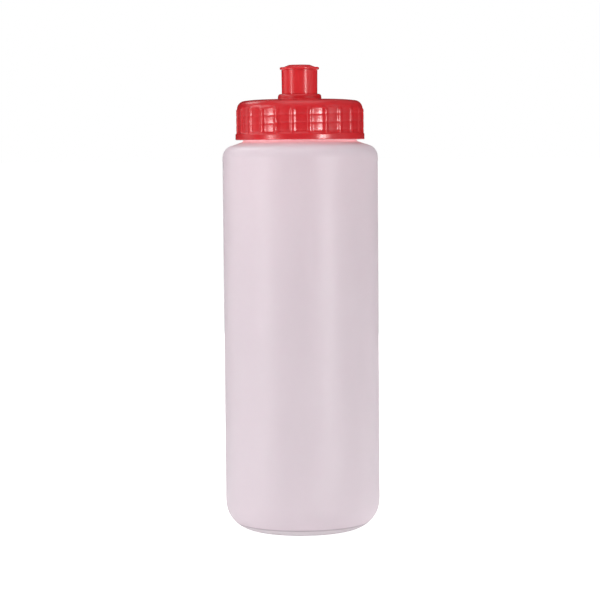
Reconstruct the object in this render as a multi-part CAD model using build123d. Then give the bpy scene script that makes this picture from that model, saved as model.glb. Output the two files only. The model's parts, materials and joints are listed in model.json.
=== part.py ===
from build123d import *
import math
import os

# Squeeze bottle for sport: a blow-moulded bottle, a screw lid, a push-pull spout that slides on
# the lid's boss, and the sealing ring between bottle and lid.
# Millimetres, +Z up.  The origin is the centre of the base, level with the standing ring.
# The lid is screwed down and the spout is pushed shut.

# Bottle
body_diameter = 82.5
wall = 1.2
heel_radius = 15.7
standing_ring_width = 2.0
push_up_height = 5.0
shoulder_apex_height = 203.0      # where the shoulder cone would meet the straight side
shoulder_angle = 17.6             # slope of the shoulder cone, degrees
shoulder_radius = 6.5
neck_diameter = 60.4
neck_bore_diameter = 57.2
neck_root_radius = 0.9
rim_height = 224.8
rim_edge_radius = 0.4

# Thread between bottle and lid
threads_per_inch = 6
thread_lead = 25.4 / threads_per_inch
thread_datum = 208.9              # height at which the lid's thread first crosses the +X side
thread_axial_offset = 1.7         # from the lid's thread up to the bottle's
bottle_thread_height = 1.0
bottle_thread_widths = (2.4, 1.1)     # at the root, at the crest
bottle_thread_start = 212.6
bottle_thread_turns = 2.35
lid_thread_height = 1.1
lid_thread_widths = (2.2, 1.0)
lid_thread_start = 210.2
lid_thread_turns = 2.5

# Lid
lid_diameter = 66.6               # between the ribs
skirt_bore_diameter = 63.4
lid_bottom_height = 207.5
crown_height = 228.75
crown_arc_radius = 73.0
crown_edge_slope = 7.5            # slope of the crown where its edge rounding begins, degrees
crown_edge_radius = 4.35
crown_thickness = 1.8
seat_height = 226.0               # face that presses on the sealing ring
seat_corner_radius = 1.0
band_diameter = 68.4
band_top_height = 211.0
band_edge_radius = 0.45
rib_count = 24
rib_radius = 1.8
rib_projection = 0.65
rib_top_height = 223.5
rib_start_angle = 8.8             # degrees from +X to the first rib
plug_ring_diameter = 56.4
plug_ring_thickness = 1.2
plug_ring_depth = 2.8

# Collar, boss and post on the lid
collar_foot_diameter = 23.2
collar_top_diameter = 22.8
collar_height = 231.7
collar_edge_radius = 1.45
collar_wall = 1.7
boss_diameter = 15.1
boss_bore_diameter = 12.4
boss_height = 240.4
boss_bead_projection = 0.45
boss_bead_length = 1.4
post_diameter = 4.4
post_plug_diameter = 6.2
post_plug_height = 242.4          # where the slim post widens into the plug
post_top_height = 246.7
post_chamfer = 0.5
bridge_count = 3
bridge_width = 1.5
bridge_height = 2.4

# Spout
spout_top_diameter = 19.1
spout_bottom_diameter = 18.86
spout_bottom_height = 231.9
spout_bottom_edge_radius = 0.4
lip_diameter = 20.82
lip_underside_height = 244.45
lip_top_height = 245.8
lip_edge_radius = 0.6
overall_height = 247.0
face_diameter = 11.2              # flat top around the outlet
face_cone_diameter = 17.4
spout_bore_diameter = 16.2
spout_top_thickness = 1.6
spout_bead_diameter = 15.3        # inner bead that runs on the boss
spout_bead_length = 0.9
outlet_diameter = 6.3
outlet_sleeve_diameter = 8.6
outlet_sleeve_depth = 2.8

# Sealing ring
gasket_inner_diameter = 57.0
gasket_outer_diameter = 61.0

embed = 0.3                       # how far ribs, threads and bridges run into what carries them
cutter_reach = 20.0               # how far a cutter runs past the face it opens


def profile_solid(*lines):
    """Turn a closed half profile, drawn as radius and height, about Z."""
    outline = [edge for line in lines for edge in line.edges()]
    return revolve(Plane.XZ * make_face(outline), Axis.Z)


def ring(inner_diameter, outer_diameter, bottom, top):
    """Plain ring or disc between two heights."""
    outer = Pos(0, 0, bottom) * extrude(Circle(outer_diameter / 2), top - bottom)
    if inner_diameter == 0:
        return outer
    return outer - Pos(0, 0, bottom) * extrude(Circle(inner_diameter / 2), top - bottom)


def body_solid(inset, neck_radius, top):
    """Solid inside the body's outline moved inwards by inset, with a straight neck up to top."""
    body_radius = body_diameter / 2
    ring_radius = body_radius - heel_radius
    ring_inner = ring_radius - standing_ring_width
    dome_radius = (ring_inner**2 + push_up_height**2) / (2 * push_up_height) + inset
    dome_angle = math.degrees(math.acos(1 - push_up_height / dome_radius))
    slope = math.radians(shoulder_angle)
    tangent_length = shoulder_radius * math.tan((math.pi / 2 - slope) / 2)
    shoulder_centre = (body_radius - shoulder_radius, shoulder_apex_height - tangent_length)

    dome_centre = (0, push_up_height + inset - dome_radius)
    push_up = CenterArc(dome_centre, dome_radius, 90, -dome_angle)
    heel = CenterArc((ring_radius, heel_radius), heel_radius - inset, 270, 90)
    foot = Line(push_up @ 1, heel @ 0)
    shoulder = CenterArc(shoulder_centre, shoulder_radius - inset, 0, 90 - shoulder_angle)
    side = Line(heel @ 1, shoulder @ 0)
    cone_end = shoulder @ 1
    cone_top = cone_end.Y + (cone_end.X - neck_radius) * math.tan(slope)
    neck = Polyline(cone_end, (neck_radius, cone_top), (neck_radius, top), (0, top), push_up @ 0)
    return profile_solid(push_up, foot, heel, side, shoulder, neck)


def thread_ridge(root_radius, height, widths, start, turns, datum):
    """Helical ridge.  A positive height stands outwards, a negative one inwards."""
    root_width, crest_width = widths
    foot = -math.copysign(embed, height)
    foot_width = root_width + (root_width - crest_width) * embed / abs(height)
    path = Helix(pitch=thread_lead, height=turns * thread_lead, radius=root_radius)
    section_plane = Plane(origin=path @ 0, x_dir=(1, 0, 0), z_dir=path % 0)
    section = section_plane * make_face(
        Polyline(
            (foot, -foot_width / 2),
            (height, -crest_width / 2),
            (height, crest_width / 2),
            (foot, foot_width / 2),
            close=True,
        )
    )
    ridge = sweep(section, path, is_frenet=True)
    start_angle = 360 * (start - datum) / thread_lead
    return Pos(0, 0, start) * Rot(0, 0, start_angle) * ridge


def make_bottle():
    neck_radius = neck_diameter / 2
    outside = body_solid(0, neck_radius, rim_height)
    neck_root = outside.edges().filter_by(GeomType.CIRCLE).filter_by(
        lambda edge: math.isclose(edge.radius, neck_radius)
    ).sort_by(Axis.Z)
    outside = fillet(neck_root[0], neck_root_radius)
    inside = body_solid(wall, neck_bore_diameter / 2, rim_height + cutter_reach)
    shell = outside - inside
    rim_edges = shell.edges().filter_by(GeomType.CIRCLE).filter_by_position(
        Axis.Z, rim_height, rim_height
    )
    shell = fillet(rim_edges, rim_edge_radius)
    return shell + thread_ridge(
        neck_radius,
        bottle_thread_height,
        bottle_thread_widths,
        bottle_thread_start,
        bottle_thread_turns,
        thread_datum + thread_axial_offset,
    )


def lid_crown():
    """Outside of the lid between the ribs, as a solid: flat crown, crown arc, rounded edge, wall."""
    lid_radius = lid_diameter / 2
    slope = math.radians(crown_edge_slope)
    flat_radius = (
        lid_radius - crown_edge_radius * (1 - math.sin(slope)) - crown_arc_radius * math.sin(slope)
    )
    flat = Line((0, crown_height), (flat_radius, crown_height))
    crown_arc = CenterArc(
        (flat_radius, crown_height - crown_arc_radius), crown_arc_radius, 90, -crown_edge_slope
    )
    edge_start = crown_arc @ 1
    edge_centre = (
        lid_radius - crown_edge_radius, edge_start.Y - crown_edge_radius * math.cos(slope)
    )
    edge = CenterArc(edge_centre, crown_edge_radius, 90 - crown_edge_slope, crown_edge_slope - 90)
    wall_line = Polyline(
        edge @ 1, (lid_radius, lid_bottom_height), (0, lid_bottom_height), flat @ 0
    )
    return profile_solid(flat, crown_arc, edge, wall_line)


def lid_ribs():
    """Grip ribs: upright rods sunk in the wall, each with a rounded top."""
    rod_circle = lid_diameter / 2 + rib_projection - rib_radius
    rod_top = rib_top_height - math.sqrt(rib_radius**2 - (rib_radius - rib_projection) ** 2)
    rod = Pos(0, 0, band_top_height - embed) * extrude(
        Circle(rib_radius), rod_top - band_top_height + embed
    )
    rod += Pos(0, 0, rod_top) * Sphere(rib_radius)
    return [place * rod for place in PolarLocations(rod_circle, rib_count, rib_start_angle)]


def lid_post():
    """Centre post and plug, carried by bridges across the foot of the boss."""
    ceiling = crown_height - crown_thickness
    post = ring(0, post_diameter, ceiling, post_plug_height + embed)
    plug = ring(0, post_plug_diameter, post_plug_height, post_top_height)
    plug = chamfer(plug.edges().filter_by(GeomType.CIRCLE), post_chamfer)
    reach = boss_bore_diameter / 2 + embed
    bridge = Pos(reach / 2, 0, ceiling + bridge_height / 2) * Box(reach, bridge_width, bridge_height)
    return post + plug + [place * bridge for place in PolarLocations(0, bridge_count)]


def make_lid():
    ceiling = crown_height - crown_thickness
    outside = lid_crown() + lid_ribs()
    band = ring(0, band_diameter, lid_bottom_height, band_top_height)
    outside += fillet(band.edges().filter_by(GeomType.CIRCLE), band_edge_radius)
    collar = profile_solid(
        Polyline(
            (0, ceiling),
            (collar_foot_diameter / 2, ceiling),
            (collar_foot_diameter / 2, crown_height),
            (collar_top_diameter / 2, collar_height),
            (0, collar_height),
            close=True,
        )
    )
    outside += fillet(collar.edges().sort_by(Axis.Z)[-1], collar_edge_radius)

    bead_bottom = boss_height - boss_bead_length
    bead = ring(0, boss_diameter + 2 * boss_bead_projection, bead_bottom, boss_height)
    bead = chamfer(bead.edges().sort_by(Axis.Z)[-1], boss_bead_projection)
    outside += ring(0, boss_diameter, ceiling, boss_height) + bead

    cavity = ring(0, skirt_bore_diameter, lid_bottom_height - cutter_reach, seat_height)
    cavity = fillet(cavity.edges().sort_by(Axis.Z)[-1], seat_corner_radius)
    recess = ring(0, plug_ring_diameter - 2 * plug_ring_thickness, seat_height - embed, ceiling)
    flow_bore = ring(0, boss_bore_diameter, seat_height, boss_height + cutter_reach)
    core_groove = ring(
        boss_diameter, collar_top_diameter - 2 * collar_wall, seat_height, collar_height - collar_wall
    )
    lid = outside - cavity - recess - flow_bore - core_groove
    lid += ring(
        plug_ring_diameter - 2 * plug_ring_thickness,
        plug_ring_diameter,
        seat_height - plug_ring_depth,
        seat_height + embed,
    )
    lid += lid_post()
    return lid + thread_ridge(
        skirt_bore_diameter / 2,
        -lid_thread_height,
        lid_thread_widths,
        lid_thread_start,
        lid_thread_turns,
        thread_datum,
    )


def make_spout():
    outlet_radius = outlet_diameter / 2
    outline = Polyline(
        (outlet_radius, overall_height),
        (face_diameter / 2, overall_height),
        (face_cone_diameter / 2, lip_top_height),
        (lip_diameter / 2, lip_top_height),
        (lip_diameter / 2, lip_underside_height),
        (spout_top_diameter / 2, lip_underside_height),
        (spout_bottom_diameter / 2, spout_bottom_height),
        (spout_bead_diameter / 2, spout_bottom_height),
        (spout_bead_diameter / 2, spout_bottom_height + spout_bead_length),
        (spout_bore_diameter / 2, spout_bottom_height + spout_bead_length),
        (spout_bore_diameter / 2, overall_height - spout_top_thickness),
        (outlet_sleeve_diameter / 2, overall_height - spout_top_thickness),
        (outlet_sleeve_diameter / 2, overall_height - spout_top_thickness - outlet_sleeve_depth),
        (outlet_radius, overall_height - spout_top_thickness - outlet_sleeve_depth),
        close=True,
    )
    spout = profile_solid(outline)
    circles = spout.edges().filter_by(GeomType.CIRCLE)
    lip_edges = circles.filter_by(lambda edge: math.isclose(edge.radius, lip_diameter / 2))
    spout = fillet(lip_edges, lip_edge_radius)
    circles = spout.edges().filter_by(GeomType.CIRCLE)
    bottom_edge = circles.filter_by(lambda edge: math.isclose(edge.radius, spout_bottom_diameter / 2))
    return fillet(bottom_edge, spout_bottom_edge_radius)


def make_gasket():
    return ring(gasket_inner_diameter, gasket_outer_diameter, rim_height, seat_height)


os.makedirs("parts", exist_ok=True)
export_step(make_bottle(), "parts/bottle.step")
export_step(make_lid(), "parts/lid.step")
export_step(make_spout(), "parts/spout.step")
export_step(make_gasket(), "parts/gasket.step")
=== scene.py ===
import json
import math

import bmesh
import bpy
import numpy as np
from mathutils import Euler, Matrix, Vector

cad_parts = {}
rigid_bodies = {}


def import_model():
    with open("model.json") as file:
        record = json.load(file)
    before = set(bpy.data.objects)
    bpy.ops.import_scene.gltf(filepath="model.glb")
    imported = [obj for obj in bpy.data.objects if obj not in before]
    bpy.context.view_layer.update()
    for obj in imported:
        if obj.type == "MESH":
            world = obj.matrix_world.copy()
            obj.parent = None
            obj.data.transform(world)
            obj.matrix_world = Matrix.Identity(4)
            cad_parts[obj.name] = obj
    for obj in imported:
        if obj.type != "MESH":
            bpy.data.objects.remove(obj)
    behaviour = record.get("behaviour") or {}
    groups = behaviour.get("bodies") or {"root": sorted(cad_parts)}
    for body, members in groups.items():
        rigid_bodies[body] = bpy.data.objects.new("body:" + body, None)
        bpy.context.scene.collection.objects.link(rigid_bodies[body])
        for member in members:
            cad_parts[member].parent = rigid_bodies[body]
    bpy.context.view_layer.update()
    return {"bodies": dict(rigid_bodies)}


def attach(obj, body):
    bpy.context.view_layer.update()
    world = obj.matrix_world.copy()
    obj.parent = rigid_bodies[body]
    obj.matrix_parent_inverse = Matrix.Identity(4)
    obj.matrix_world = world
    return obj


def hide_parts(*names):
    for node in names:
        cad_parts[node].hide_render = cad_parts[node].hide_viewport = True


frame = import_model()

# Squeeze bottle for sport, drawn finely over its CAD parts. Each part is turned from a half
# profile; threads, ribs, mould lines and sink marks are changes to its radius.
# Profiles are in millimetres and repeat the CAD sizes. Meshes are in metres.
MM = 0.001

# Bottle
BODY_RADIUS = 41.25
WALL = 1.2
HEEL_RADIUS = 15.7
RING_INNER_RADIUS = 23.55
RING_OUTER_RADIUS = BODY_RADIUS - HEEL_RADIUS
PUSH_UP_HEIGHT = 5.0
PARTING_HEIGHT = 4.0
SHOULDER_APEX = 203.0
SHOULDER_SLOPE = math.tan(math.radians(17.6))
SHOULDER_RADIUS = 6.5
NECK_RADIUS = 30.2
NECK_BORE = 28.6
NECK_STRAIGHT_FOOT = 208.0
RIM_HEIGHT = 224.8
PARTING_GROOVE_DEPTH = 0.22
SIDE_INSET = 0.11          # keeps the mould lines inside the CAD part's box
SIDE_UNEVENNESS = 0.03
SIDE_FOOT = 8.0
SIDE_TOP = 206.0
SIDE_FADE = 7.0
MOULD_LINE_HEIGHT = 0.06
MOULD_LINE_HALF_WIDTH = 0.32
MOULD_LINE_TOP = 207.4
WELD_DEPTH = 0.35          # pinch weld across the base
WELD_HALF_WIDTH = 0.55
WELD_END_RADIUS = 19.0

# Thread
LEAD = 25.4 / 6
LID_THREAD = {
    "datum": 208.9, "start": 210.2, "turns": 2.5, "height": 1.1, "root": 2.2, "crest": 1.0
}
NECK_THREAD = {
    "datum": 210.6, "start": 212.6, "turns": 2.35, "height": 1.0, "root": 2.4, "crest": 1.1
}

# Lid
LID_RADIUS = 33.3
SKIRT_BORE = 31.7
BAND_RADIUS = 34.2
BAND_TOP = 211.0
LID_BOTTOM = 207.5
CROWN = 228.75
CEILING = 226.95
SEAT = 226.0
RIB_COUNT = 24
RIB_ROD = 1.8
RIB_ROD_CIRCLE = 32.15
RIB_TOP = 224.4
RIB_START = 8.8
RIB_FADE = 1.5
RIB_BLEND = 0.14           # softness of the corner between rib and wall
SINK_DEPTH = 0.09
SINK_WIDTH = 0.60
SINK_TOP = 222.6
CROWN_ARC_RADIUS = 72.5
CROWN_EDGE_RADIUS = 4.35
CROWN_EDGE_SLOPE = math.tan(math.radians(7.5))
CROWN_TURN = 24.775        # radius at which the crown's two tangents meet
PLUG_RING_OUTER_RADIUS = 28.2
PLUG_RING_INNER_RADIUS = 27.0
PLUG_RING_FOOT = 223.2
GROOVE_RADIUS = 9.7
GROOVE_TOP = 230.0
COLLAR_FOOT_RADIUS = 11.6
COLLAR_TOP_RADIUS = 11.4
COLLAR_TOP = 231.7
COLLAR_EDGE_RADIUS = 1.45
BOSS_RADIUS = 7.55
BOSS_BORE = 6.2
BOSS_TOP = 240.4
BEAD_RADIUS = 8.0
BEAD_SHOULDER = 239.95
BEAD_FOOT = 239.0

# Post in the lid
POST_RADIUS = 2.2
POST_PLUG_RADIUS = 3.1
POST_TAPER_FOOT = 242.1
POST_TAPER_TOP = 242.6
POST_TOP = 246.7
BRIDGE_COUNT = 3
BRIDGE_WIDTH = 1.5
BRIDGE_HEIGHT = 2.4
BRIDGE_REACH = 6.6

# Spout
SPOUT_TOP = 247.0
OUTLET_RADIUS = 3.15
FACE_RADIUS = 5.6
CONE_RADIUS = 8.7
LIP_RADIUS = 10.41
LIP_TOP = 245.8
LIP_UNDERSIDE = 244.45
BARREL_TOP_RADIUS = 9.55
BARREL_FOOT_RADIUS = 9.43
SPOUT_FOOT = 231.74
SPOUT_BEAD_RADIUS = 7.65
SPOUT_BEAD_TOP = 232.8
SPOUT_BORE = 8.1
SPOUT_CEILING = 245.4
SLEEVE_RADIUS = 4.3
SLEEVE_FOOT = 242.6

# Sealing ring
RING_BORE = 28.5
RING_RADIUS = 30.5


def even_angles(count):
    """Angles of count even steps round the circle, from 0."""
    return np.arange(count) * 2 * math.pi / count


def arc(centre, radius, start, stop, steps):
    """Points on an arc, as (radius from the axis, height), with angles in degrees."""
    turn = np.radians(np.linspace(start, stop, steps))
    return [(centre[0] + radius * math.cos(t), centre[1] + radius * math.sin(t)) for t in turn]


def rounded(corners, spacing=3.0, closed=False):
    """Outline through corners (r, z), (r, z, rounding) or (r, z, rounding, spacing after it)."""
    corners = [tuple(c) + (0.0, spacing)[len(c) - 2:] for c in corners]
    count = len(corners)
    bends = []
    for i, (r, z, rounding, _) in enumerate(corners):
        here = np.array((r, z))
        if rounding == 0:
            bends.append([here])
            continue
        before = np.array(corners[i - 1][:2]) - here
        after = np.array(corners[(i + 1) % count][:2]) - here
        before /= np.linalg.norm(before)
        after /= np.linalg.norm(after)
        half = math.acos(np.clip(before @ after, -1, 1)) / 2
        middle = before + after
        centre = here + middle / np.linalg.norm(middle) * rounding / math.sin(half)
        first = here + before * rounding / math.tan(half) - centre
        last = here + after * rounding / math.tan(half) - centre
        swing = math.pi - 2 * half
        facet = math.radians(25 if rounding < 0.5 else 15)
        steps = max(3, math.ceil(swing / facet), math.ceil(rounding * swing / spacing))
        bend = []
        for share in np.linspace(0, 1, steps + 1):
            spoke = math.sin((1 - share) * swing) * first + math.sin(share * swing) * last
            bend.append(centre + spoke / math.sin(swing))
        bends.append(bend)
    points = []
    for i in range(count):
        points.extend(bends[i])
        if i == count - 1 and not closed:
            break
        start, stop = bends[i][-1], bends[(i + 1) % count][0]
        length = np.linalg.norm(stop - start)
        steps = math.ceil(length / corners[i][3])
        shares = np.arange(1, steps) / steps
        support = 0.15 / max(length, 1e-9)
        if support < 0.3 and (corners[i][2] or corners[(i + 1) % count][2]):
            between = (s for s in shares if support * 1.5 < s < 1 - support * 1.5)
            shares = [support, *between, 1 - support]
        points.extend(start + (stop - start) * s for s in shares)
    return np.array(points)


def turned(name, profile, angles, closed, shape=None):
    """Mesh object of a profile turned about Z. shape(theta, r, z) gives new radii and heights."""
    columns, rows = len(angles), len(profile)
    theta = np.repeat(np.asarray(angles)[:, None], rows, axis=1)
    r = np.tile(profile[:, 0], (columns, 1))
    z = np.tile(profile[:, 1], (columns, 1))
    if shape:
        r, z = shape(theta, r, z)
    points = np.stack([r * np.cos(theta), r * np.sin(theta), z], axis=-1) * MM
    column = np.arange(columns)[:, None]
    row = np.arange(rows if closed else rows - 1)[None, :]
    next_column, next_row = (column + 1) % columns, (row + 1) % rows
    faces = np.stack(
        [
            column * rows + row,
            next_column * rows + row,
            next_column * rows + next_row,
            column * rows + next_row,
        ],
        axis=-1,
    ).reshape(-1, 4)
    mesh = bpy.data.meshes.new(name)
    mesh.from_pydata(points.reshape(-1, 3).tolist(), [], faces.tolist())
    work = bmesh.new()
    work.from_mesh(mesh)
    bmesh.ops.remove_doubles(work, verts=work.verts, dist=1e-7)
    bmesh.ops.recalc_face_normals(work, faces=work.faces)
    work.to_mesh(mesh)
    work.free()
    mesh.shade_smooth()
    piece = bpy.data.objects.new(name, mesh)
    bpy.context.scene.collection.objects.link(piece)
    return piece


def smooth_step(x):
    """Smooth rise from 0 to 1 as x runs from 0 to 1."""
    x = np.clip(x, 0, 1)
    return x * x * (3 - 2 * x)


def thread_height(theta, z, thread):
    """How far a thread stands off its wall at each angle and height."""
    rise = z - thread["datum"] - LEAD * theta / (2 * math.pi)
    off_centre = rise - LEAD * np.round(rise / LEAD)
    flank = (thread["root"] - thread["crest"]) / 2
    standing = smooth_step((thread["root"] / 2 - np.abs(off_centre)) / flank)
    turn = (z - off_centre - thread["start"]) / LEAD
    runout = 0.06
    ends = smooth_step(turn / runout) * smooth_step((thread["turns"] - turn) / runout)
    return thread["height"] * standing * ends


def push_up(radius_gain, top, steps):
    """Points of the domed base from the axis outwards."""
    radius = (RING_INNER_RADIUS**2 + PUSH_UP_HEIGHT**2) / (2 * PUSH_UP_HEIGHT) + radius_gain
    edge = math.degrees(math.acos(1 - PUSH_UP_HEIGHT / radius))
    return arc((0, top - radius), radius, 90, 90 - edge, steps)


def bottle_profile():
    """Outside from the middle of the base up to the rim, then the inside back down."""
    heel_circle = (RING_OUTER_RADIUS, HEEL_RADIUS)
    parting_turn = -math.degrees(math.asin(1 - PARTING_HEIGHT / HEEL_RADIUS))
    groove_turns = parting_turn + np.linspace(-3.6, 3.6, 15)
    heel = []
    for turn in sorted([*np.linspace(-86, -4, 24), *groove_turns]):
        groove = PARTING_GROOVE_DEPTH * math.exp(-(((turn - parting_turn) / 1.2) ** 2))
        heel.extend(arc(heel_circle, HEEL_RADIUS - groove, turn, turn, 1))
    cone_drop = WALL / math.cos(math.atan(SHOULDER_SLOPE))
    inside = BODY_RADIUS - WALL

    def cone(radius):
        return SHOULDER_APEX + (BODY_RADIUS - radius) * SHOULDER_SLOPE

    corners = [
        *push_up(0, PUSH_UP_HEIGHT, 26)[:-1],
        (RING_INNER_RADIUS, 0, 0.5),
        (RING_OUTER_RADIUS, 0),
        *heel,
        (BODY_RADIUS, HEEL_RADIUS),
        (BODY_RADIUS, SHOULDER_APEX, SHOULDER_RADIUS, 1.0),
        (NECK_RADIUS, cone(NECK_RADIUS), 0.9, 0.22),
        (NECK_RADIUS, RIM_HEIGHT, 0.4),
        (NECK_BORE, RIM_HEIGHT, 0.4, 8.0),
        (NECK_BORE, cone(NECK_BORE) - cone_drop, 1.5, 4.0),
        (inside, cone(inside) - cone_drop, SHOULDER_RADIUS - WALL, 12.0),
        *arc(heel_circle, HEEL_RADIUS - WALL, 0, -90, 14),
        *push_up(WALL, PUSH_UP_HEIGHT + WALL, 14)[::-1],
    ]
    return rounded(corners)


def bottle_shape(theta, r, z):
    """Neck thread, two mould lines down the sides, a slight unevenness and the base weld."""
    outside = np.arange(r.shape[1])[None, :] < OUTSIDE_ROWS
    on_neck = outside & (np.abs(r - NECK_RADIUS) < 0.01) & (z > NECK_STRAIGHT_FOOT)
    r = r + on_neck * thread_height(theta, z, NECK_THREAD)
    wave = np.zeros_like(r)
    rng = np.random.default_rng(5)
    for turns in (2, 3, 5, 7):
        turn, lift = rng.uniform(0, 2 * math.pi, 2)
        wave += np.sin(turns * theta + turn) * np.sin(z / rng.uniform(14, 30) + lift) / turns
    side = smooth_step((z - SIDE_FOOT) / SIDE_FADE) * smooth_step((SIDE_TOP - z) / SIDE_FADE)
    r = r - outside * side * (SIDE_INSET + SIDE_UNEVENNESS * wave)
    across = r * np.abs(np.sin(theta))
    ridge = MOULD_LINE_HEIGHT * np.clip(1 - across / MOULD_LINE_HALF_WIDTH, 0, 1)
    ends = smooth_step(z / 6) * smooth_step((MOULD_LINE_TOP - z) / 1.5) * (r > RING_OUTER_RADIUS)
    r = r + outside * ends * ridge
    base = outside & (z < PUSH_UP_HEIGHT + 0.1) & (r < 21)
    across = r * np.sin(theta)
    weld = WELD_DEPTH * np.exp(-((across / WELD_HALF_WIDTH) ** 2))
    return r, z - base * weld * smooth_step((WELD_END_RADIUS - r) / 3)


def spread(count, extra):
    """Even angles round the circle with finer ones, in mm at the body, near both mould lines."""
    angles = set(np.round(even_angles(count), 6))
    for side in (0, math.pi):
        angles |= {round(side + e / BODY_RADIUS, 6) % round(2 * math.pi, 6) for e in extra}
    return sorted(angles)


profile = bottle_profile()
OUTSIDE_ROWS = int(np.argmax(profile[:, 1]))
bottle = turned(
    "squeeze_bottle",
    profile,
    spread(288, [share * MOULD_LINE_HALF_WIDTH for share in (-1, -0.5, 0.5, 1)]),
    closed=False,
    shape=bottle_shape,
)


def lid_profile():
    """Clockwise round the lid's section, from the foot of the boss bore."""
    crown_edge = CROWN - (LID_RADIUS - CROWN_TURN) * CROWN_EDGE_SLOPE
    corners = [
        (BOSS_BORE, CEILING, 0, 4.0),
        (BOSS_BORE, BOSS_TOP, 0.3),
        (BOSS_RADIUS, BOSS_TOP, 0.15),
        (BEAD_RADIUS, BEAD_SHOULDER, 0.15),
        (BEAD_RADIUS, BEAD_FOOT, 0.15),
        (BOSS_RADIUS, BEAD_FOOT, 0.1, 2.5),
        (BOSS_RADIUS, COLLAR_TOP, 0.3),
        (COLLAR_TOP_RADIUS, COLLAR_TOP, COLLAR_EDGE_RADIUS),
        (COLLAR_FOOT_RADIUS, CROWN, 0.45, 3.0),
        (CROWN_TURN, CROWN, CROWN_ARC_RADIUS),
        (LID_RADIUS, crown_edge, CROWN_EDGE_RADIUS, 0.3),
        (LID_RADIUS, BAND_TOP + 0.35, 1.1),
        (BAND_RADIUS, BAND_TOP - 0.35, 1.1, 1.5),
        (BAND_RADIUS, LID_BOTTOM, 0.45),
        (SKIRT_BORE, LID_BOTTOM, 0.25, 0.4),
        (SKIRT_BORE, SEAT, 1.0),
        (PLUG_RING_OUTER_RADIUS, SEAT, 0.2),
        (PLUG_RING_OUTER_RADIUS, PLUG_RING_FOOT, 0.3),
        (PLUG_RING_INNER_RADIUS, PLUG_RING_FOOT, 0.3),
        (PLUG_RING_INNER_RADIUS, CEILING, 0.4, 5.0),
        (GROOVE_RADIUS, CEILING, 0.3),
        (GROOVE_RADIUS, GROOVE_TOP, 0.5),
        (BOSS_RADIUS, GROOVE_TOP, 0.5),
        (BOSS_RADIUS, CEILING, 0.3),
    ]
    return rounded(corners, closed=True)


def rib_height(theta, z):
    """How far the nearest rib stands off the wall at each angle and height."""
    pitch = 2 * math.pi / RIB_COUNT
    off = (theta - math.radians(RIB_START) + pitch / 2) % pitch - pitch / 2
    inside = np.clip(RIB_ROD**2 - (RIB_ROD_CIRCLE * np.sin(off)) ** 2, 0, None)
    stand = RIB_ROD_CIRCLE * np.cos(off) + np.sqrt(inside) - LID_RADIUS
    lowest = -2
    blended = RIB_BLEND * np.log1p(np.exp(np.clip(stand, lowest, None) / RIB_BLEND))
    beside = RIB_BLEND * math.log1p(math.exp(lowest / RIB_BLEND))
    return np.where(inside > 0, blended - beside, 0) * smooth_step((RIB_TOP - z) / RIB_FADE)


def lid_shape(theta, r, z):
    """Ribs, the sink marks that the thread leaves in the wall, and the thread itself."""
    outside = (r > LID_RADIUS - 0.6) & (z > BAND_TOP - 0.5)
    rise = z - LID_THREAD["datum"] - LEAD * theta / (2 * math.pi)
    off_centre = rise - LEAD * np.round(rise / LEAD)
    sink = SINK_DEPTH * np.exp(-((off_centre / SINK_WIDTH) ** 2))
    sink = sink * smooth_step((SINK_TOP - z) / RIB_FADE)
    on_band = smooth_step((r - LID_RADIUS) / (BAND_RADIUS - LID_RADIUS))
    stand = np.maximum(rib_height(theta, z) - (r - LID_RADIUS) * (r > LID_RADIUS), 0)
    r = r + outside * (stand - sink * (1 - on_band))
    on_bore = np.abs(r - SKIRT_BORE) < 0.01
    return r - on_bore * thread_height(theta, z, LID_THREAD), z


rib_pitch = 360 / RIB_COUNT
rib_reach = 3.3            # degrees each side of a rib's middle that need fine columns
across_rib = [
    *np.linspace(-rib_reach, rib_reach, 10),
    *np.linspace(rib_reach, rib_pitch - rib_reach, 6)[1:-1],
]
lid_angles = sorted(
    math.radians((RIB_START + k * rib_pitch + a) % 360)
    for k in range(RIB_COUNT)
    for a in across_rib
)
lid = turned("screw_lid", lid_profile(), lid_angles, closed=True, shape=lid_shape)

post_profile = rounded(
    [
        (0, CEILING),
        (POST_RADIUS, CEILING, 0.3, 5.0),
        (POST_RADIUS, POST_TAPER_FOOT, 0.3),
        (POST_PLUG_RADIUS, POST_TAPER_TOP, 0.3),
        (POST_PLUG_RADIUS, POST_TOP, 0.5),
        (0, POST_TOP),
    ]
)
post = turned("post", post_profile, even_angles(96), closed=False)


def block(name, low, high, bevel):
    """Closed box with rounded edges, between two corners in millimetres."""
    mesh = bpy.data.meshes.new(name)
    work = bmesh.new()
    bmesh.ops.create_cube(work, size=1.0)
    low, high = Vector(low) * MM, Vector(high) * MM
    size = high - low
    for v in work.verts:
        v.co = low + Vector((share + 0.5) * length for share, length in zip(v.co, size))
    bmesh.ops.bevel(
        work, geom=work.edges[:], offset=bevel * MM, segments=3, affect="EDGES", profile=0.5
    )
    work.to_mesh(mesh)
    work.free()
    mesh.shade_smooth()
    piece = bpy.data.objects.new(name, mesh)
    bpy.context.scene.collection.objects.link(piece)
    return piece


def join_solid(target, tool):
    """Fuse one closed mesh into another and drop the first."""
    bpy.context.view_layer.update()
    union = target.modifiers.new("union", "BOOLEAN")
    union.operation = "UNION"
    union.solver = "MANIFOLD"
    union.object = tool
    bpy.context.view_layer.update()
    evaluated = target.evaluated_get(bpy.context.evaluated_depsgraph_get())
    fused = bpy.data.meshes.new_from_object(evaluated)
    target.modifiers.remove(union)
    target.data = fused
    bpy.data.objects.remove(tool)
    fused.shade_smooth()


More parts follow.
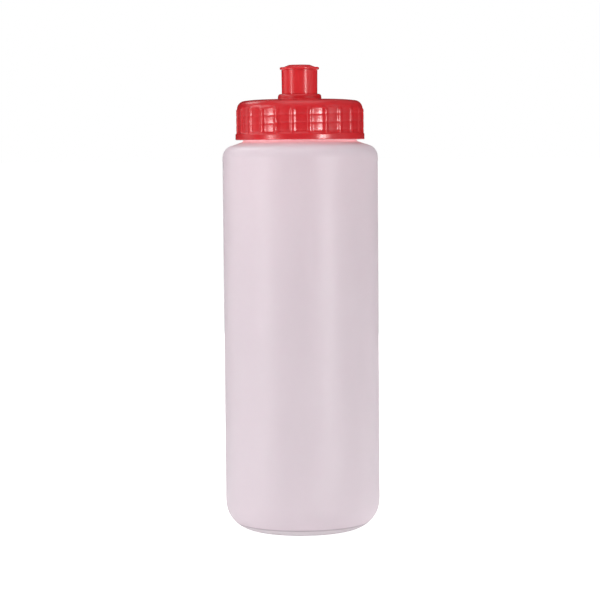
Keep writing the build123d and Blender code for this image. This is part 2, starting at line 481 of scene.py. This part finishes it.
for k in range(BRIDGE_COUNT):
    bridge = block(
        "bridge",
        (1.0, -BRIDGE_WIDTH / 2, CEILING + 0.01),
        (BRIDGE_REACH, BRIDGE_WIDTH / 2, CEILING + BRIDGE_HEIGHT),
        0.25,
    )
    bridge.data.transform(Matrix.Rotation(math.radians(k * 360 / BRIDGE_COUNT), 4, "Z"))
    join_solid(post, bridge)
join_solid(lid, post)

spout_profile = rounded(
    [
        (OUTLET_RADIUS, SPOUT_TOP, 0.3),
        (FACE_RADIUS, SPOUT_TOP, 0.35),
        (CONE_RADIUS, LIP_TOP, 0.2),
        (LIP_RADIUS, LIP_TOP, 0.5),
        (LIP_RADIUS, LIP_UNDERSIDE, 0.5),
        (BARREL_TOP_RADIUS, LIP_UNDERSIDE, 0.25),
        (BARREL_FOOT_RADIUS, SPOUT_FOOT, 0.14),
        (SPOUT_BEAD_RADIUS, SPOUT_FOOT, 0.14),
        (SPOUT_BEAD_RADIUS, SPOUT_BEAD_TOP, 0.25),
        (SPOUT_BORE, SPOUT_BEAD_TOP, 0.2),
        (SPOUT_BORE, SPOUT_CEILING, 0.6),
        (SLEEVE_RADIUS, SPOUT_CEILING, 0.4),
        (SLEEVE_RADIUS, SLEEVE_FOOT, 0.3),
        (OUTLET_RADIUS, SLEEVE_FOOT, 0.2),
    ],
    spacing=1.5,
    closed=True,
)
spout = turned("pull_spout", spout_profile, even_angles(192), closed=True)

gasket_profile = rounded(
    [
        (RING_BORE, RIM_HEIGHT, 0.25),
        (RING_RADIUS, RIM_HEIGHT, 0.25),
        (RING_RADIUS, SEAT, 0.25),
        (RING_BORE, SEAT, 0.25),
    ],
    spacing=0.5,
    closed=True,
)
gasket = turned("sealing_ring", gasket_profile, even_angles(192), closed=True)


class Nodes:
    """Short way to add nodes to a new material and link them."""

    def __init__(self, name):
        self.material = bpy.data.materials.new(name)
        self.material.use_nodes = True
        self.tree = self.material.node_tree
        self.shader = self.tree.nodes["Principled BSDF"]

    def add(self, kind, settings=None, **inputs):
        node = self.tree.nodes.new(kind)
        for key, value in (settings or {}).items():
            setattr(node, key, value)
        for key, value in inputs.items():
            self.set(node, key.replace("_", " "), value)
        return node

    def set(self, node, socket, value):
        if isinstance(value, bpy.types.NodeSocket):
            self.tree.links.new(value, node.inputs[socket])
        else:
            node.inputs[socket].default_value = value

    def place(self, stretch=(1, 1, 1)):
        here = self.add("ShaderNodeTexCoord").outputs["Object"]
        mapping = self.add("ShaderNodeMapping")
        self.set(mapping, "Vector", here)
        self.set(mapping, "Scale", stretch)
        return mapping.outputs["Vector"]

    def noise(self, scale, detail=2.0, stretch=(1, 1, 1)):
        node = self.add("ShaderNodeTexNoise", Scale=scale, Detail=detail)
        self.set(node, "Vector", self.place(stretch))
        return node.outputs["Fac"]

    def ramp(self, value, low, high, start=0.3, stop=0.7):
        """Colour or number that runs from low to high as value runs from start to stop."""
        if isinstance(low, tuple):
            return self.mix(self.ramp(value, 0.0, 1.0, start, stop), low, high)
        node = self.add("ShaderNodeMapRange", Value=value)
        sockets = ("From Min", "From Max", "To Min", "To Max")
        for socket, number in zip(sockets, (start, stop, low, high)):
            self.set(node, socket, number)
        return node.outputs["Result"]

    def mix(self, share, first, second):
        """Colour between first and second, each an (r, g, b) or another node's colour."""
        node = self.add("ShaderNodeMix", {"data_type": "RGBA"})
        for socket, value in ((0, share), (6, first), (7, second)):
            self.set(node, socket, (*value, 1) if isinstance(value, tuple) else value)
        return node.outputs[2]

    def height(self):
        """Height above the floor, in metres."""
        split = self.add("ShaderNodeSeparateXYZ")
        self.set(split, 0, self.place())
        return split.outputs["Z"]

    def from_axis(self):
        """Distance from the vertical axis, in metres."""
        length = self.add("ShaderNodeVectorMath", {"operation": "LENGTH"})
        self.set(length, 0, self.place((1, 1, 0)))
        return length.outputs["Value"]

    def nearness(self, value, centre, reach):
        """1 where value is at centre, falling to 0 at reach from it."""
        away = self.add("ShaderNodeMath", {"operation": "SUBTRACT"})
        self.set(away, 0, value)
        self.set(away, 1, centre)
        size = self.add("ShaderNodeMath", {"operation": "ABSOLUTE"})
        self.set(size, 0, away.outputs[0])
        return self.ramp(size.outputs[0], 1.0, 0.0, 0.0, reach)

    def bump(self, *layers):
        """Stack of bumps, each (height, strength, distance in metres)."""
        normal = None
        for height, strength, distance in layers:
            node = self.add("ShaderNodeBump", Strength=strength, Distance=distance)
            self.set(node, "Height", height)
            if normal:
                self.set(node, "Normal", normal)
            normal = node.outputs["Normal"]
        self.set(self.shader, "Normal", normal)


def red_plastic(name, dark, light):
    """Glossy red moulded plastic with faint flow marks and a fine moulded skin."""
    m = Nodes(name)
    m.set(m.shader, "Base Color", m.ramp(m.noise(45.0, 3.0), dark, light))
    m.set(m.shader, "Roughness", m.ramp(m.noise(160.0, 3.0), 0.19, 0.27))
    m.bump(
        (m.noise(2600.0, 1.0), 0.03, 0.0001),
        (m.noise(220.0, 2.0, (1, 1, 0.35)), 0.05, 0.0003),
    )
    m.set(m.shader, "IOR", 1.5)
    m.set(m.shader, "Specular IOR Level", 0.8)
    m.set(m.shader, "Subsurface Weight", 0.12)
    m.set(m.shader, "Subsurface Radius", (1.0, 0.15, 0.12))
    m.set(m.shader, "Subsurface Scale", 0.002)
    return m.material


def bottle_plastic(name):
    """Cloudy, faintly pink polyethylene with a soft blown skin, greyer below the parting line,
    with painted shade along the parting groove.
    """
    m = Nodes(name)
    cloud = m.noise(22.0, 4.0, (1, 1, 0.45))
    skin = m.ramp(cloud, (0.745, 0.645, 0.70), (0.785, 0.68, 0.735))
    line = PARTING_HEIGHT * MM
    painted_groove_shade_reach = 0.7 * MM
    below_line = m.ramp(m.height(), 0.6, 0.0, line - 0.3 * MM, line)
    skin = m.mix(below_line, skin, (0.72, 0.68, 0.70))
    # Dark line painted along the real parting groove: painted shade of the groove
    skin = m.mix(m.nearness(m.height(), line, painted_groove_shade_reach), skin, (0.50, 0.43, 0.47))
    ring = RING_OUTER_RADIUS * MM
    in_ring = m.ramp(m.from_axis(), 1.0, 0.0, ring, ring + 0.5 * MM)
    skin = m.mix(in_ring, skin, (0.74, 0.67, 0.71))
    m.set(m.shader, "Base Color", skin)
    m.set(m.shader, "Roughness", m.ramp(m.noise(130.0, 3.0), 0.40, 0.47))
    m.bump(
        (m.noise(1500.0, 2.0), 0.05, 0.0001),
        (m.noise(60.0, 2.0, (1, 1, 0.12)), 0.10, 0.0004),
    )
    m.set(m.shader, "IOR", 1.5)
    m.set(m.shader, "Subsurface Weight", 0.5)
    m.set(m.shader, "Subsurface Radius", (1.0, 0.9, 0.95))
    m.set(m.shader, "Subsurface Scale", 0.002)
    return m.material


def seal_foam(name):
    """Off-white foam sheet with fine closed cells."""
    m = Nodes(name)
    foam = m.ramp(m.noise(300.0, 3.0), (0.72, 0.70, 0.66), (0.80, 0.78, 0.74))
    m.set(m.shader, "Base Color", foam)
    m.set(m.shader, "Roughness", m.ramp(m.noise(900.0, 2.0), 0.65, 0.8))
    m.bump((m.noise(3000.0, 1.0), 0.2, 0.0001))
    return m.material


lid_red = red_plastic("lid_red_plastic", (0.655, 0.020, 0.027), (0.71, 0.025, 0.033))
# The spout is the same red plastic as the lid, painted lighter: painted light that brightens its
# barrel
spout_red_painted_lighter = red_plastic("spout_red_plastic_painted_lighter", (0.78, 0.030, 0.038), (0.84, 0.036, 0.045))
for piece, body, node, slot, material in (
    (bottle, "bottle", "bottle", "bottle_ldpe", bottle_plastic("cloudy_polyethylene")),
    (gasket, "gasket", "gasket", "seal", seal_foam("seal_foam")),
    (lid, "lid", "lid", "red_plastic", lid_red),
    (spout, "spout", "spout", "red_plastic", spout_red_painted_lighter),
):
    piece.data.materials.clear()
    piece.data.materials.append(material)
    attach(piece, body)
    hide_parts(node)

# Floor: white to the camera, and a dim pool of light round the bottle to everything else
reach = 40.0
floor_corners = [(-reach, -reach, 0), (reach, -reach, 0), (reach, reach, 0), (-reach, reach, 0)]
floor_mesh = bpy.data.meshes.new("floor")
floor_mesh.from_pydata(floor_corners, [], [(0, 1, 2, 3)])
floor = bpy.data.objects.new("floor", floor_mesh)
bpy.context.scene.collection.objects.link(floor)
floor_paint = Nodes("white_floor")
floor_paint.set(floor_paint.shader, "Base Color", (0.8, 0.8, 0.8, 1))
floor_paint.set(floor_paint.shader, "Roughness", 1.0)
floor_paint.set(floor_paint.shader, "Specular IOR Level", 0.0)
floor_paint.set(floor_paint.shader, "Emission Color", (1, 1, 1, 1))
seen = floor_paint.add("ShaderNodeLightPath").outputs["Is Camera Ray"]
pool_brightness, pool_inner, pool_outer = 0.28, 0.08, 0.45
pool = floor_paint.ramp(floor_paint.from_axis(), pool_brightness, 0.0, pool_inner, pool_outer)
seen_brightness = 0.95
brightness = floor_paint.add("ShaderNodeMath", {"operation": "MAXIMUM"})
floor_paint.set(brightness, 0, floor_paint.ramp(seen, 0.0, seen_brightness, 0.0, 1.0))
floor_paint.set(brightness, 1, pool)
floor_paint.set(floor_paint.shader, "Emission Strength", brightness.outputs[0])
floor_mesh.materials.append(floor_paint.material)

# World: plain white behind the object; what lights it is bright overhead and dim at the sides
world = bpy.data.worlds.new("studio")
bpy.context.scene.world = world
world.use_nodes = True
nodes, links = world.node_tree.nodes, world.node_tree.links
room = nodes["Background"]
room.inputs["Color"].default_value = (1, 1, 1, 1)
split = nodes.new("ShaderNodeSeparateXYZ")
links.new(nodes.new("ShaderNodeTexCoord").outputs["Generated"], split.inputs[0])
height = nodes.new("ShaderNodeMapRange")
height.interpolation_type = "SMOOTHSTEP"
for socket, value in (("From Min", 0.2), ("From Max", 0.8), ("To Min", 0.015), ("To Max", 0.16)):
    height.inputs[socket].default_value = value
links.new(split.outputs["Z"], height.inputs["Value"])
links.new(height.outputs["Result"], room.inputs["Strength"])
backdrop = nodes.new("ShaderNodeBackground")
backdrop.inputs["Color"].default_value = (1, 1, 1, 1)
either = nodes.new("ShaderNodeMixShader")
links.new(nodes.new("ShaderNodeLightPath").outputs["Is Camera Ray"], either.inputs[0])
links.new(room.outputs[0], either.inputs[1])
links.new(backdrop.outputs[0], either.inputs[2])
links.new(either.outputs[0], nodes["World Output"].inputs["Surface"])


def area_lamp(name, shape, size, watts, colour=(1, 1, 1)):
    """Area light that the camera can't see."""
    light = bpy.data.lights.new(name, "AREA")
    light.shape = shape
    light.size, light.size_y = size
    light.energy = watts
    light.color = colour
    lamp = bpy.data.objects.new(name, light)
    bpy.context.scene.collection.objects.link(lamp)
    lamp.visible_camera = False
    return lamp


AIM_HEIGHT = 0.16


def softbox(name, turn, tilt, distance, size, watts, lights):
    """Lamp aimed at the bottle: turn to the right of the camera, tilt above the horizon."""
    lamp = area_lamp(name, "RECTANGLE", size, watts)
    a, e = math.radians(turn), math.radians(tilt)
    back = Vector((math.sin(a) * math.cos(e), -math.cos(a) * math.cos(e), math.sin(e)))
    lamp.location = Vector((0, 0, AIM_HEIGHT)) + back * distance
    lamp.rotation_mode = "QUATERNION"
    lamp.rotation_quaternion = back.to_track_quat("Z", "Y")
    lamp.visible_glossy = lights != "matt"
    lamp.visible_diffuse = lights != "gloss"
    return lamp


def only_on(lamp, *pieces):
    """Lets a lamp light these pieces alone, and returns the collection of them."""
    lit = bpy.data.collections.new(lamp.name + "_receivers")
    for piece in pieces:
        lit.objects.link(piece)
    lamp.light_linking.receiver_collection = lit
    return lit


# Name, turn, tilt, distance, size, watts, kind of light, and the pieces lit, if not all of them.
# The lamps for the lid's highlights stand low, or from behind its crown would mirror them.
for name, turn, tilt, distance, size, watts, lights, lit in (
    ("strip_left", -54, -0.6, 1.0, (0.08, 0.4), 2.4, "gloss", [bottle]),
    ("strip_right", 40, -0.6, 1.0, (0.12, 0.4), 3.8, "gloss", [bottle]),
    ("glint_left", -54, -2.6, 1.0, (0.09, 0.22), 1.05, "gloss", [lid, spout]),
    ("glow_left", -48, -2.6, 1.0, (0.26, 0.22), 0.55, "gloss", [lid]),
    ("glint_right", 40, -2.6, 1.0, (0.13, 0.22), 2.3, "gloss", [lid, spout]),
    ("glow_right", 43, -2.6, 1.0, (0.36, 0.22), 1.3, "gloss", [lid]),
    ("far_left", -103, 8, 1.0, (0.5, 0.8), 0.7, "gloss", []),
    ("left", -50, 14, 1.0, (0.4, 0.8), 5.3, "matt", []),
    ("far_right", 72, 15, 1.0, (0.6, 0.8), 5.3, "matt", []),
    ("front", -20, 50, 1.2, (0.9, 0.6), 3.0, "matt", []),
    ("top", 0, 86, 1.0, (0.8, 0.8), 1.3, "both", []),
    ("rim", -135, 42, 1.0, (0.4, 0.3), 0.7, "gloss", []),
    ("crescent", -115, 55, 1.0, (0.4, 0.4), 1.5, "gloss", [bottle]),
    ("crown_edge", -80, 29, 1.0, (0.6, 0.24), 1.2, "gloss", [lid]),
    ("back", 180, 20, 1.2, (0.7, 0.8), 8.0, "matt", []),
):
    lamp = softbox(name, turn, tilt, distance, size, watts, lights)
    if lit:
        only_on(lamp, *lit)

# Light on the shoulder that the lid doesn't shade, because the real lid passes some light
shoulder = softbox("shoulder", -95, 55, 1.0, (0.5, 0.5), 1.1, "matt")
shoulder.light_linking.blocker_collection = only_on(shoulder, bottle)

# Daylight that comes down through the red skirt onto the shoulder
skirt_width = 2 * (SKIRT_BORE - 0.1) * MM
skirt = area_lamp("skirt", "DISK", (skirt_width, skirt_width), 0.018, (1.0, 0.42, 0.41))
skirt.location = (0, 0, LID_BOTTOM * MM)
skirt.visible_glossy = False
skirt.parent = frame["bodies"]["lid"]
only_on(skirt, bottle)

# Camera
camera = bpy.data.objects.new("camera", bpy.data.cameras.new("camera"))
bpy.context.scene.collection.objects.link(camera)
bpy.context.scene.camera = camera
camera.location = (0, -1.2, 0.202)
down, aside, roll = 3.80, 0.033, -0.48     # degrees
aim = Euler((math.radians(90 - down), 0, math.radians(aside)), "XYZ").to_matrix()
camera.rotation_euler = (aim @ Matrix.Rotation(math.radians(roll), 3, "Z")).to_euler()
camera.data.sensor_width = 36
camera.data.lens = 135.4
camera.data.dof.use_dof = False
bpy.context.scene.view_settings.view_transform = "Standard"
